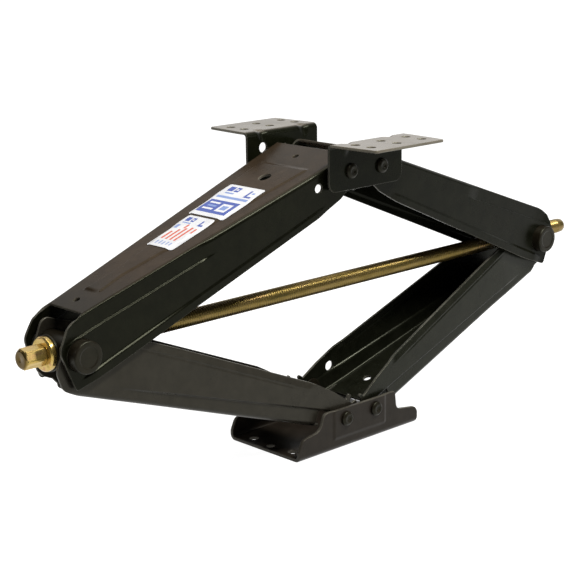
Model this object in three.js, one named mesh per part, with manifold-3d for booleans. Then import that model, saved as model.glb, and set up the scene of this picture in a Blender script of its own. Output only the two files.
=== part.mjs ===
// Scissor stabilizer jack: four tapered channel arms joined by two cross
// trunnions, a drive screw between the trunnions, a base channel that stands
// on the ground and two flanged brackets that bolt to a vehicle frame.
// Millimetres. +X runs along the screw, away from its hex end; +Z is up.
// The origin is at the centre of the underside of the base channel.
import * as THREE from 'three';
import { mergeVertices } from 'three/addons/utils/BufferGeometryUtils.js';
import Module from 'manifold-3d';

const wasm = await Module();
wasm.setup();

// ---------------------------------------------------------------- dimensions
const REST_DEG = 22.7;          // arm angle above the horizontal as modelled
const ARM_L = 352;              // pivot to trunnion, every arm
const PIVOT_X = 23;             // half spacing of the two pivots in a pair
const PIVOT_Z = 34;             // base pivots above the ground
const SHEET = 3;                // arm sheet thickness
const GAP = 0.3;                // running clearance

const BASE_LEN = 187;
const BASE_W = 110;
const BASE_T = 4;
const BASE_WALL_H = 46;         // tall middle part of each wall
const BASE_WING_H = 24.3;       // low ends of each wall
const BASE_MID = 56;            // half length of the tall part

const BRACKET_LEN = 110;
const BRACKET_IN = 60.7;        // inner face of each bracket wall
const BRACKET_T = 3;
const BRACKET_TOP = 30.6;       // flange top above the upper pivots
const BRACKET_DROP = 20;        // wall bottom below the upper pivots
const FLANGE_OUT = 126;       // outer edge of each flange from the centre

const SCREW_D = 18;
const TRUNNION_D = 32;
const TRUNNION_HALF = 41;
const SCREW_TAIL = 776;         // screw end from the left trunnion's axis
const HEX_AF = 19.05;

const PIN_D = 10;               // pivot rivet shank
const HEAD_D = 16;
const HEAD_T = 4;
const WASHER_D = 24;

const PITCH_R = PIVOT_X;        // the ears' gear sectors roll at X = 0
const TEETH = 12;

const phi = THREE.MathUtils.degToRad(REST_DEG);
const TRUN_X = PIVOT_X + ARM_L * Math.cos(phi);
const TRUN_Z = PIVOT_Z + ARM_L * Math.sin(phi);
const TOP_Z = PIVOT_Z + 2 * ARM_L * Math.sin(phi);

// half width over the outside of a channel, at u from the trunnion; the walls
// run parallel past the trunnion, so that the lower arm can swing inside the
// upper one
const UP_STRAIGHT = 20, LO_STRAIGHT = 27;
const upperHalf = (u) => 28.5 + 0.081 * Math.max(u, UP_STRAIGHT);
const lowerHalf = (u) => 23.1 + 0.073 * Math.max(u, LO_STRAIGHT);

// ------------------------------------------------------------------- helpers
function solid(geometry, matrix) {
  const g = geometry.clone();
  if (matrix) g.applyMatrix4(matrix);
  g.deleteAttribute('normal');
  g.deleteAttribute('uv');
  const m = mergeVertices(g, 1e-4);
  return new wasm.Manifold(new wasm.Mesh({
    numProp: 3,
    vertProperties: new Float32Array(m.attributes.position.array),
    triVerts: new Uint32Array(m.index.array),
  }));
}

function toGeometry(man) {
  const mesh = man.getMesh();
  const g = new THREE.BufferGeometry();
  g.setAttribute('position', new THREE.BufferAttribute(
    new Float32Array(mesh.vertProperties), 3));
  g.setIndex(new THREE.BufferAttribute(new Uint32Array(mesh.triVerts), 1));
  g.computeVertexNormals();
  return g;
}

function outline(points) {
  return new THREE.Shape(points.map(([a, b]) => new THREE.Vector2(a, b)));
}

// prism of a shape in (x, z), between y0 and y1
function prismY(points, y0, y1) {
  const g = new THREE.ExtrudeGeometry(outline(points),
    { depth: y1 - y0, bevelEnabled: false });
  // shape x -> x, shape y -> z, extrusion -> -y
  const m = new THREE.Matrix4().makeRotationX(Math.PI / 2);
  m.setPosition(0, y1, 0);
  return solid(g, m);
}

// prism of a shape in (x, y), between z0 and z1
function prismZ(points, z0, z1) {
  const g = new THREE.ExtrudeGeometry(outline(points),
    { depth: z1 - z0, bevelEnabled: false });
  return solid(g, new THREE.Matrix4().makeTranslation(0, 0, z0));
}

// prism of a shape in (y, z), between x0 and x1
function prismX(points, x0, x1) {
  const g = new THREE.ExtrudeGeometry(outline(points),
    { depth: x1 - x0, bevelEnabled: false });
  const m = new THREE.Matrix4().makeBasis(
    new THREE.Vector3(0, 1, 0), new THREE.Vector3(0, 0, 1),
    new THREE.Vector3(1, 0, 0));
  m.setPosition(x0, 0, 0);
  return solid(g, m);
}

function rodY(r, y0, y1, x = 0, z = 0, seg = 32) {
  const g = new THREE.CylinderGeometry(r, r, y1 - y0, seg);
  g.translate(x, (y0 + y1) / 2, z);
  return solid(g);
}

function rodX(r, x0, x1, seg = 32, y = 0, z = 0) {
  const g = new THREE.CylinderGeometry(r, r, x1 - x0, seg);
  g.rotateZ(Math.PI / 2);
  g.translate((x0 + x1) / 2, y, z);
  return solid(g);
}

function rodZ(r, z0, z1, x, y, seg = 24) {
  const g = new THREE.CylinderGeometry(r, r, z1 - z0, seg);
  g.rotateX(Math.PI / 2);
  g.translate(x, y, (z0 + z1) / 2);
  return solid(g);
}

// turned piece about the Y axis from [radius, y] pairs that start and end on
// the axis
function turnedY(profile, x, z, seg = 32) {
  const g = new THREE.LatheGeometry(
    profile.map(([r, y]) => new THREE.Vector2(r, y)), seg);
  g.translate(x, 0, z);
  return solid(g);
}

function turnedX(profile, z, seg = 32) {
  const g = new THREE.LatheGeometry(
    profile.map(([r, x]) => new THREE.Vector2(r, x)), seg);
  g.rotateZ(-Math.PI / 2);
  g.translate(0, 0, z);
  return solid(g);
}

const arc = (cx, cy, r, a0, a1, n) => Array.from({ length: n + 1 }, (_, i) => {
  const a = THREE.MathUtils.degToRad(a0 + (a1 - a0) * i / n);
  return [cx + r * Math.cos(a), cy + r * Math.sin(a)];
});

const fillet = (p, q, s, r, n = 5) => {
  // rounds corner q between p and s with radius r
  const P = new THREE.Vector2(...p), Q = new THREE.Vector2(...q),
    S = new THREE.Vector2(...s);
  const a = P.clone().sub(Q).normalize(), b = S.clone().sub(Q).normalize();
  const half = Math.acos(THREE.MathUtils.clamp(a.dot(b), -1, 1)) / 2;
  const d = r / Math.tan(half);
  const c = a.clone().add(b).normalize().multiplyScalar(r / Math.sin(half)).add(Q);
  const t0 = a.clone().multiplyScalar(d).add(Q).sub(c);
  const t1 = b.clone().multiplyScalar(d).add(Q).sub(c);
  let a0 = Math.atan2(t0.y, t0.x), a1 = Math.atan2(t1.y, t1.x);
  if (a1 - a0 > Math.PI) a1 -= 2 * Math.PI;
  if (a0 - a1 > Math.PI) a1 += 2 * Math.PI;
  return Array.from({ length: n + 1 }, (_, i) => {
    const t = a0 + (a1 - a0) * i / n;
    return [c.x + r * Math.cos(t), c.y + r * Math.sin(t)];
  });
};

// polygon whose corners carry a fillet radius as a third number
function rounded(points, n = 5) {
  const out = [];
  points.forEach((q, i) => {
    if (!q[2]) { out.push([q[0], q[1]]); return; }
    const p = points[(i + points.length - 1) % points.length];
    const s = points[(i + 1) % points.length];
    out.push(...fillet(p, q, s, q[2], n));
  });
  return out;
}

// one stub involute gear tooth outline round angle `mid` (radians), from the
// root on one side to the root on the other, counter-clockwise
function tooth(mid) {
  const m = 2 * PITCH_R / TEETH;
  const rb = PITCH_R * Math.cos(THREE.MathUtils.degToRad(20));
  const ra = PITCH_R + 0.72 * m, rf = PITCH_R - 1.02 * m;
  const inv = (r) => {
    const c = Math.min(1, rb / r);
    return Math.tan(Math.acos(c)) - Math.acos(c);
  };
  const halfPitch = Math.PI / (2 * TEETH) - 0.45 / PITCH_R;
  const halfAt = (r) => halfPitch + inv(PITCH_R) - inv(Math.max(r, rb));
  const rs = [rf, rb, rb + (ra - rb) * 0.35, rb + (ra - rb) * 0.7, ra];
  const left = rs.map((r) => [r, -halfAt(r)]);
  const right = rs.map((r) => [r, halfAt(r)]).reverse();
  return [...left, ...right].map(([r, a]) =>
    [r * Math.cos(mid + a), r * Math.sin(mid + a)]);
}

// gear sector from local angle a0 down to a1 (degrees) about (u, v); `half`
// shifts the teeth by half a pitch so that two ears mesh
function sector(u, v, a0, a1, shift) {
  const pts = [];
  const step = 360 / TEETH;
  const start = Math.ceil((a1 - shift) / step) * step + shift;
  for (let a = start; a <= a0; a += step) {
    pts.push(...tooth(THREE.MathUtils.degToRad(a)));
  }
  return pts.map(([a, b]) => [a + u, b + v]);
}

// ------------------------------------------------------------------ the arms
// Arms are made in their own frame: x = u from the trunnion to the far pivot,
// z = v towards the outside of the diamond, y across. The web is on +v.
const UP = { half: upperHalf, bend: UP_STRAIGHT, webEnd: 364.4, web0: [19.7, 34.4], web1: [364.4, 13.2] };
const LO = { half: lowerHalf, bend: LO_STRAIGHT, webEnd: 319, web0: [22, 38.3], web1: [319, 17.6] };
const webLine = (k, u) => k.web0[1] + (k.web1[1] - k.web0[1])
  * (u - k.web0[0]) / (k.web1[0] - k.web0[0]);

function channel(side, k, webStart, webStop) {
  const u0 = -60, u1 = 420;
  const plan = (t) => [[u0, t - k.half(u0)], [k.bend, t - k.half(k.bend)],
    [u1, t - k.half(u1)], [u1, k.half(u1) - t], [k.bend, k.half(k.bend) - t],
    [u0, k.half(u0) - t]];
  const outer = prismZ(plan(0), -80, 80);
  const inner = prismZ(plan(SHEET), -90, 90);
  const w = (u) => webLine(k, u);
  // the hollow is everything between the walls, except the web's own sheet
  const hollowLow = prismY([[u0, -90], [u1, -90], [u1, w(u1) - SHEET],
    [u0, w(u0) - SHEET]], -100, 100);
  const before = prismY([[u0, -90], [webStart, -90], [webStart, 90], [u0, 90]], -100, 100);
  const after = prismY([[webStop, -90], [u1, -90], [u1, 90], [webStop, 90]], -100, 100);
  let hollow = inner.intersect(hollowLow.add(before).add(after));
  return side.intersect(outer).subtract(hollow);
}

function boreY(man, r, u, v, seg = 28) {
  return man.subtract(rodY(r, -120, 120, u, v, seg));
}

function upperArm(shift, nearSide) {
  const w = (u) => webLine(UP, u);
  const L = ARM_L;
  const ear = [
    ...sector(L, 0, 20, -88, shift),
  ];
  const side = rounded([
    [-20, -28.5, 4], [300, -28.5, 40], [334, -25.2, 10],
    ...ear.map((p) => p),
    [364.4, w(364.4), 0], [19.7, w(19.7), 0], [-2, 31.5, 9], [-20, 17, 13],
  ], 4);
  let arm = channel(prismY(side, -100, 100), UP, 19.7, 364.4);
  arm = boreY(arm, TRUNNION_D / 2 + GAP, 0, 0, 36);
  arm = boreY(arm, PIN_D / 2 + GAP, L, 0);
  arm = arm.subtract(rodY(4.6, nearSide < 0 ? -120 : 0, nearSide < 0 ? 0 : 120, 311.5, 0.5, 20));
  return arm;
}

function webHole(man, k, u, y, ru, ry) {
  // oval hole through the web, square to it
  const g = new THREE.CylinderGeometry(1, 1, 40, 20);
  g.rotateX(Math.PI / 2);
  g.scale(ru, ry, 1);
  g.translate(u, y, webLine(k, u));
  return man.subtract(solid(g));
}

function lowerArm(shift, cutSide) {
  const w = (u) => webLine(LO, u);
  const L = ARM_L;
  const ear = sector(L, 0, 20, -88, shift);
  // the near wall is notched behind its ear, the far wall runs straight from
  // its ear to the web, and the web runs on past the walls as a tongue
  const wall = (back) => rounded([
    [-18, -25, 9], [70, -27.5, 0], [296, -27.5, 40], [332, -23.6, 10],
    ...ear, ...back, [319, w(319), 0],
    [22, w(22), 0], [-4, 37.4, 10], [-18, 22, 13],
  ], 4);
  const near = wall([...arc(L, 0, 19.6, 45, 150, 8), [L - 22, -1.2, 2], [319, -1.2, 2]]);
  const far = wall(arc(L, 0, 19.6, 45, 100, 5));
  const tongue = [[317, w(317) - SHEET], [334, w(334) - SHEET], [334, w(334)], [317, w(317)]];
  const sides = prismY(near, -100, 0).add(prismY(far, 0, 100)).add(prismY(tongue, -36.5, 36.5));
  let arm = channel(sides, LO, 22, 334);
  arm = boreY(arm, TRUNNION_D / 2 + GAP, 0, 0, 36);
  arm = boreY(arm, PIN_D / 2 + GAP, L, 0);
  // the far wall has a sight hole, and one wall's trunnion end is cropped
  arm = arm.subtract(rodY(5.5, 0, 120, 318, -9, 20));
  const crop = [[-40, 60], [-40, 6], [-18.5, 12], [-5.5, 27.2], [2.4, 30.8],
    [14.7, 31.2], [21.9, 35], [21.9, 60]].reverse();
  arm = arm.subtract(cutSide > 0 ? prismY(crop, 0, 120) : prismY(crop, -120, 0));
  return arm;
}

// matrix that lays an arm's frame into the part: u, y, v columns
function armMatrix(sideX, upper) {
  const sz = upper ? 1 : -1;
  const u = new THREE.Vector3(-sideX * Math.cos(phi), 0, sz * Math.sin(phi));
  const v = new THREE.Vector3(sideX * Math.sin(phi), 0, sz * Math.cos(phi));
  const m = new THREE.Matrix4().makeBasis(u, new THREE.Vector3(0, 1, 0), v);
  m.setPosition(sideX * TRUN_X, 0, TRUN_Z);
  return m;
}

function placeArm(man, sideX, upper) {
  const m = armMatrix(sideX, upper);
  const g = toGeometry(man);
  if (m.determinant() < 0) {
    // the frame is left-handed: swap windings so the faces point out
    const idx = g.index.array;
    for (let i = 0; i < idx.length; i += 3) {
      const t = idx[i]; idx[i] = idx[i + 1]; idx[i + 1] = t;
    }
  }
  g.applyMatrix4(m);
  g.computeVertexNormals();
  return g;
}

// ------------------------------------------------------------------ the base
function baseChannel() {
  const hw = BASE_W / 2, t = BASE_T, hl = BASE_LEN / 2;
  const section = rounded([
    [-hw, 0, 6], [hw, 0, 6], [hw, 80], [hw - t, 80], [hw - t, t, 2],
    [-hw + t, t, 2], [-hw + t, 80], [-hw, 80],
  ], 4);
  let b = prismX(section, -hl, hl);
  const wall = rounded([
    [-hl, -5], [hl, -5], [hl, BASE_WING_H - 5, 9],
    [BASE_MID + 2.6, BASE_WING_H, 8], [BASE_MID, BASE_WALL_H, 4],
    [-BASE_MID + 1, BASE_WALL_H, 7], [-BASE_MID - 5.5, BASE_WING_H + 4, 12],
    [-hl + 6, BASE_WING_H, 9], [-hl, 11, 8],
  ], 5);
  b = b.intersect(prismY(wall, -80, 80));
  for (const s of [-1, 1]) {
    b = b.subtract(rodY(PIN_D / 2 + GAP, -80, 80, s * PIVOT_X, PIVOT_Z, 28));
    for (const y of [-31, 0, 31]) {
      b = b.subtract(rodZ(y ? 5 : 4.5, -5, 10, s * (y ? 80 : 84), y, 20));
    }
  }
  return b;
}

// --------------------------------------------------------------- the brackets
function bracket(sideY) {
  const zt = TOP_Z + BRACKET_TOP, zb = TOP_Z - BRACKET_DROP, t = BRACKET_T;
  const yi = BRACKET_IN, yw = BRACKET_IN + t;
  let sec = rounded([
    [yi, zb], [yw, zb], [yw, zt - t, 2], [FLANGE_OUT, zt - t],
    [FLANGE_OUT, zt], [yi, zt, 5],
  ], 4);
  if (sideY < 0) sec = sec.map(([a, b]) => [-a, b]).reverse();
  const hl = BRACKET_LEN / 2;
  const hr = sideY > 0 ? hl - 3.5 : hl;
  let b = prismX(sec, -hl, hr);
  const wall = rounded([
    [-hl, zb, 10], [hr, zb, 10], [hr, zt + 5], [-hl, zt + 5],
  ], 5);
  b = b.intersect(prismY(wall, -200, 200));
  const plan = rounded([
    [-hl, 0], [hr, 0], [hr, 78], [hr - 3.5, FLANGE_OUT, 4],
    [-hl + 3.5, FLANGE_OUT, 4], [-hl, 78],
  ], 4).map(([a, c]) => [a, sideY * c]);
  if (sideY < 0) plan.reverse();
  b = b.intersect(prismZ(plan, 0, 500));
  const y = sideY * (yi + yw) / 2;
  for (const s of [-1, 1]) {
    b = b.subtract(rodY(PIN_D / 2 + GAP, y - 20, y + 20, s * PIVOT_X, TOP_Z, 28));
  }
  for (const x of [-38, 0, 38]) {
    for (const yy of [84, 106]) {
      b = b.subtract(rodZ(4.8, zt - 20, zt + 10, x, sideY * yy, 20));
    }
  }
  if (sideY > 0) b = b.subtract(rodY(5.5, y - 20, y + 20, -31.5, zt - 18.5, 20));
  return b;
}

// ---------------------------------------------------------- pivot fasteners
function rivet(x, z, sideY, faceOut, shankIn) {
  // outer head on the wall's outer face, shank, then the formed inner head
  const f = faceOut + GAP, i = shankIn - GAP;
  const prof = [
    [0, i - 3], [6.6, i - 3], [7.6, i - 2], [7.6, i],
    [PIN_D / 2, i], [PIN_D / 2, f], [HEAD_D / 2, f],
    [HEAD_D / 2, f + 1.6], [HEAD_D / 2 - 1.6, f + 3.2],
    [HEAD_D / 2 - 4.4, f + HEAD_T], [0, f + HEAD_T],
  ];
  const p = sideY > 0 ? prof : prof.map(([r, y]) => [r, -y]).reverse();
  return turnedY(p, x, z, 20);
}

function washer(x, z, y0, y1, rOut, rIn) {
  return rodY(rOut, y0, y1, x, z, 24)
    .subtract(rodY(rIn, y0 - 5, y1 + 5, x, z, 20));
}

// ------------------------------------------------------------ the drive line
function trunnion(x) {
  const h = TRUNNION_HALF, r = TRUNNION_D / 2;
  const body = turnedY([
    [0, -h], [r - 1.5, -h], [r, -h + 1.5], [r, h - 1.5], [r - 1.5, h], [0, h],
  ], x, TRUN_Z, 32);
  return body.subtract(rodX(SCREW_D / 2 + GAP, x - 40, x + 40, 28, 0, TRUN_Z));
}

const COLLAR_X0 = -TRUN_X - TRUNNION_D / 2 - 8.6;   // hex side of the collar

function driveScrew() {
  const end = -TRUN_X + SCREW_TAIL;
  const r = SCREW_D / 2;
  return turnedX([
    [0, COLLAR_X0 + 3.3], [r - 3.5, COLLAR_X0 + 3.3], [r - 3.5, COLLAR_X0 + 6.4],
    [r, COLLAR_X0 + 6.4], [r, end - 16], [r - 1, end - 15], [r - 1, end - 2],
    [r - 3, end], [0, end],
  ], TRUN_Z, 28);
}

function hexHead() {
  const x1 = COLLAR_X0 - GAP, x0 = x1 - 23.5;
  const r = HEX_AF / 2 / Math.cos(Math.PI / 6);
  const hex = Array.from({ length: 6 }, (_, i) => {
    const a = THREE.MathUtils.degToRad(60 * i + 12);
    return [r * Math.cos(a), TRUN_Z + r * Math.sin(a)];
  });
  let h = prismX(hex, x0, x1);
  const cone = turnedX([
    [0, x0 - 1], [r - 3, x0 - 1], [r + 1, x0 + 1.6], [r + 1, x1 + 1], [0, x1 + 1],
  ], TRUN_Z, 24);
  return h.intersect(cone);
}

function thrustCollar() {
  const r = SCREW_D / 2 - 3.5;
  return turnedX([
    [r + GAP, COLLAR_X0 + 3.0], [0, COLLAR_X0 + 3.0], [0, COLLAR_X0],
    [15.2, COLLAR_X0], [17, COLLAR_X0 + 1.5], [17, COLLAR_X0 + 5.8],
    [r + GAP, COLLAR_X0 + 5.8], [r + GAP, COLLAR_X0 + 3.0],
  ].slice(1).concat([[0, COLLAR_X0 + 3.0]]).filter((p, i, a) =>
    i === 0 || p[0] !== a[i - 1][0] || p[1] !== a[i - 1][1]), TRUN_Z, 32);
}

function thrustWasher() {
  const x0 = COLLAR_X0 + 6.1, x1 = -TRUN_X - TRUNNION_D / 2 - GAP;
  return rodX(18, x0, x1, 32, 0, TRUN_Z)
    .subtract(rodX(SCREW_D / 2 + GAP, x0 - 5, x1 + 5, 28, 0, TRUN_Z));
}

// thin label plate on the outside of the upper left web
function label(u0, u1, y0, y1) {
  const w = (u) => webLine(UP, u);
  const side = [[u0, w(u0) + GAP], [u1, w(u1) + GAP],
    [u1, w(u1) + GAP + 0.6], [u0, w(u0) + GAP + 0.6]];
  return prismY(side, y0, y1);
}

// ------------------------------------------------------------------ assembly
const steel = { color: 0x2a2a26, roughness: 0.42, metalness: 0.55 };
const zinc = { color: 0xb59a5a, roughness: 0.35, metalness: 0.85 };
const paper = { color: 0xe8e8e6, roughness: 0.55, metalness: 0.0 };

const jack = new THREE.Group();
function add(parent, name, geometry, look) {
  const mesh = new THREE.Mesh(geometry, new THREE.MeshStandardMaterial(look));
  mesh.name = name;
  parent.add(mesh);
  return mesh;
}
const piece = (parent, name, man, look) => add(parent, name, toGeometry(man), look);

const baseGroup = new THREE.Group();
const linkGroup = new THREE.Group();
const driveGroup = new THREE.Group();
const topGroup = new THREE.Group();
jack.add(baseGroup, linkGroup, driveGroup, topGroup);

piece(baseGroup, 'base_channel', baseChannel(), steel);

// the ears of a pair mesh: one has a tooth on the line of centres when the
// other has a gap, at every fold angle
const STEP = 360 / TEETH;
const SHIFT_L = -REST_DEG;
const SHIFT_R = -REST_DEG + STEP / 2;
add(linkGroup, 'lower_left_arm',
  placeArm(webHole(lowerArm(SHIFT_L, 1), LO, 296, -12, 4.6, 4.2), -1, false), steel);
add(linkGroup, 'lower_right_arm',
  placeArm(webHole(lowerArm(SHIFT_R, -1), LO, 296, 12, 4.6, 4.2), 1, false), steel);
let ul = upperArm(SHIFT_L, -1);
ul = webHole(ul, UP, 291.5, 0, 7.2, 6.4);
ul = webHole(ul, UP, 342, 4, 3.6, 3.2);
ul = webHole(ul, UP, 35, 2, 3.4, 3.0);
add(linkGroup, 'upper_left_arm', placeArm(ul, -1, true), steel);
let ur = upperArm(SHIFT_R, 1);
ur = webHole(ur, UP, 291.5, 0, 7.2, 6.4);
ur = webHole(ur, UP, 342, -4, 3.6, 3.2);
ur = webHole(ur, UP, 35, -2, 3.4, 3.0);
add(linkGroup, 'upper_right_arm', placeArm(ur, 1, true), steel);

for (const [xn, sx] of [['left', -1], ['right', 1]]) {
  for (const [yn, sy] of [['near', -1], ['far', 1]]) {
    const x = sx * PIVOT_X;
    const lowIn = lowerHalf(ARM_L) - SHEET - 1.3;
    const span = (a, b) => (sy > 0 ? [a, b] : [-b, -a]);
    piece(baseGroup, `base_rivet_${xn}_${yn}`,
      rivet(x, PIVOT_Z, sy, BASE_W / 2, lowIn - 2), steel);
    piece(baseGroup, `base_washer_${xn}_${yn}`,
      washer(x, PIVOT_Z, ...span(lowIn - 2, lowIn), WASHER_D / 2,
        PIN_D / 2 + GAP), steel);
    const upIn = upperHalf(ARM_L) - SHEET - 1.4;
    const upOut = upperHalf(ARM_L) + 1.3;
    piece(topGroup, `top_rivet_${xn}_${yn}`,
      rivet(x, TOP_Z, sy, BRACKET_IN + BRACKET_T, upIn), steel);
    piece(topGroup, `top_washer_${xn}_${yn}`,
      washer(x, TOP_Z, ...span(upOut, BRACKET_IN - GAP), WASHER_D / 2,
        PIN_D / 2 + GAP), steel);
  }
}

piece(driveGroup, 'left_trunnion', trunnion(-TRUN_X), steel);
piece(driveGroup, 'right_trunnion_nut', trunnion(TRUN_X), steel);
piece(driveGroup, 'drive_screw', driveScrew(), zinc);
piece(driveGroup, 'hex_drive_head', hexHead(), zinc);
piece(driveGroup, 'thrust_collar', thrustCollar(), zinc);
piece(driveGroup, 'thrust_washer', thrustWasher(), zinc);

piece(topGroup, 'top_bracket_near', bracket(-1), steel);
piece(topGroup, 'top_bracket_far', bracket(1), steel);

add(linkGroup, 'label_upper', placeArm(label(203.5, 267, -27, 26), -1, true), paper);
add(linkGroup, 'label_lower', placeArm(label(139, 200, -21, 18.5), -1, true), paper);

export default jack;
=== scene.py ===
"""Scissor stabilizer jack: the looks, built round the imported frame. Metres, +Z up."""

import math

import bpy
import numpy as np
from mathutils import Matrix, Vector
from mathutils.geometry import delaunay_2d_cdt


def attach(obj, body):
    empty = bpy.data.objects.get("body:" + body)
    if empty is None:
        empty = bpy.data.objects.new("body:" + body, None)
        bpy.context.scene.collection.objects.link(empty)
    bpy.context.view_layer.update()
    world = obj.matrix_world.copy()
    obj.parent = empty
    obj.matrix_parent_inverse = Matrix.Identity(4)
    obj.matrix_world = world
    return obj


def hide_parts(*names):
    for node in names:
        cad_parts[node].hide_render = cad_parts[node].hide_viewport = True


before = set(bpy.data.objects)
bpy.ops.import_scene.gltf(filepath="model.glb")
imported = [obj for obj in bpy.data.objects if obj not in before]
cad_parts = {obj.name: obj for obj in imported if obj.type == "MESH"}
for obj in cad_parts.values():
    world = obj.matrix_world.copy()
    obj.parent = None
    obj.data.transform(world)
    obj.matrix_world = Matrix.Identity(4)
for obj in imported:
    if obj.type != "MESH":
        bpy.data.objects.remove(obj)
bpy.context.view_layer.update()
MM = 0.001

# ------------------------------------------------------------------ the part
REST = math.radians(22.7)
CP, SP = math.cos(REST), math.sin(REST)
ARM_L = 352.0
PIVOT_X, PIVOT_Z = 23.0, 34.0
TRUN_X = PIVOT_X + ARM_L * CP
TRUN_Z = PIVOT_Z + ARM_L * SP
TOP_Z = PIVOT_Z + 2 * ARM_L * SP
TEETH, PITCH_R = 12, 23.0


def smooth(e0, e1, x):
    t = np.clip((np.asarray(x, float) - e0) / (e1 - e0), 0.0, 1.0)
    return t * t * (3 - 2 * t)


def knee(u, at, soft=9.0):
    """max(u, at) with a soft corner"""
    return 0.5 * (u + at + np.sqrt((u - at) ** 2 + soft * soft))


# ------------------------------------------------------------ outline helpers
def fillet(p, q, s, r, n):
    p, q, s = (np.array(v[:2], float) for v in (p, q, s))
    a, b = p - q, s - q
    a /= np.linalg.norm(a)
    b /= np.linalg.norm(b)
    half = math.acos(max(-1, min(1, float(a @ b)))) / 2
    d = r / math.tan(half)
    m = a + b
    c = q + m / np.linalg.norm(m) * (r / math.sin(half))
    t0, t1 = q + a * d - c, q + b * d - c
    a0, a1 = math.atan2(t0[1], t0[0]), math.atan2(t1[1], t1[0])
    if a1 - a0 > math.pi:
        a1 -= 2 * math.pi
    if a0 - a1 > math.pi:
        a1 += 2 * math.pi
    return [(c[0] + r * math.cos(a0 + (a1 - a0) * i / n),
             c[1] + r * math.sin(a0 + (a1 - a0) * i / n)) for i in range(n + 1)]


def rounded(pts, n=7):
    out = []
    for i, q in enumerate(pts):
        if len(q) < 3 or not q[2]:
            out.append((float(q[0]), float(q[1])))
        else:
            out.extend(fillet(pts[i - 1], q, pts[(i + 1) % len(pts)], q[2], n))
    return out


def circle(x, y, r, n=28, sx=1.0, sy=1.0):
    return [(x + sx * r * math.cos(2 * math.pi * i / n),
             y + sy * r * math.sin(2 * math.pi * i / n)) for i in range(n)]


def resample(loop, step):
    out = []
    for i, p in enumerate(loop):
        q = loop[(i + 1) % len(loop)]
        n = max(1, int(math.ceil(math.dist(p, q) / step)))
        for k in range(n):
            out.append((p[0] + (q[0] - p[0]) * k / n, p[1] + (q[1] - p[1]) * k / n))
    keep = []
    for p in out:
        if not keep or math.dist(p, keep[-1]) > 0.05:
            keep.append(p)
    if math.dist(keep[0], keep[-1]) < 0.05:
        keep.pop()
    return keep


def inside(pts, loops):
    """even-odd test of points against closed loops"""
    x, y = pts[:, 0][:, None], pts[:, 1][:, None]
    count = np.zeros(len(pts), int)
    for lp in loops:
        a = np.array(lp)
        b = np.roll(a, -1, 0)
        cond = (a[:, 1] > y) != (b[:, 1] > y)
        with np.errstate(divide="ignore", invalid="ignore"):
            xi = (b[:, 0] - a[:, 0]) * (y - a[:, 1]) / (b[:, 1] - a[:, 1]) + a[:, 0]
        count += (cond & (x < xi)).sum(1)
    return count % 2 == 1


def clear_of(pts, loops, gap):
    """points further than gap from every loop's edges"""
    best = np.full(len(pts), 1e9)
    for lp in loops:
        a = np.array(lp)
        d = np.roll(a, -1, 0) - a
        L2 = (d ** 2).sum(1)
        for s in range(0, len(pts), 4000):
            p = pts[s:s + 4000]
            w = p[:, None, :] - a[None]
            t = np.clip((w * d).sum(2) / L2, 0, 1)
            q = w - t[..., None] * d
            best[s:s + 4000] = np.minimum(best[s:s + 4000], np.sqrt((q ** 2).sum(2)).min(1))
    return best > gap


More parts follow.
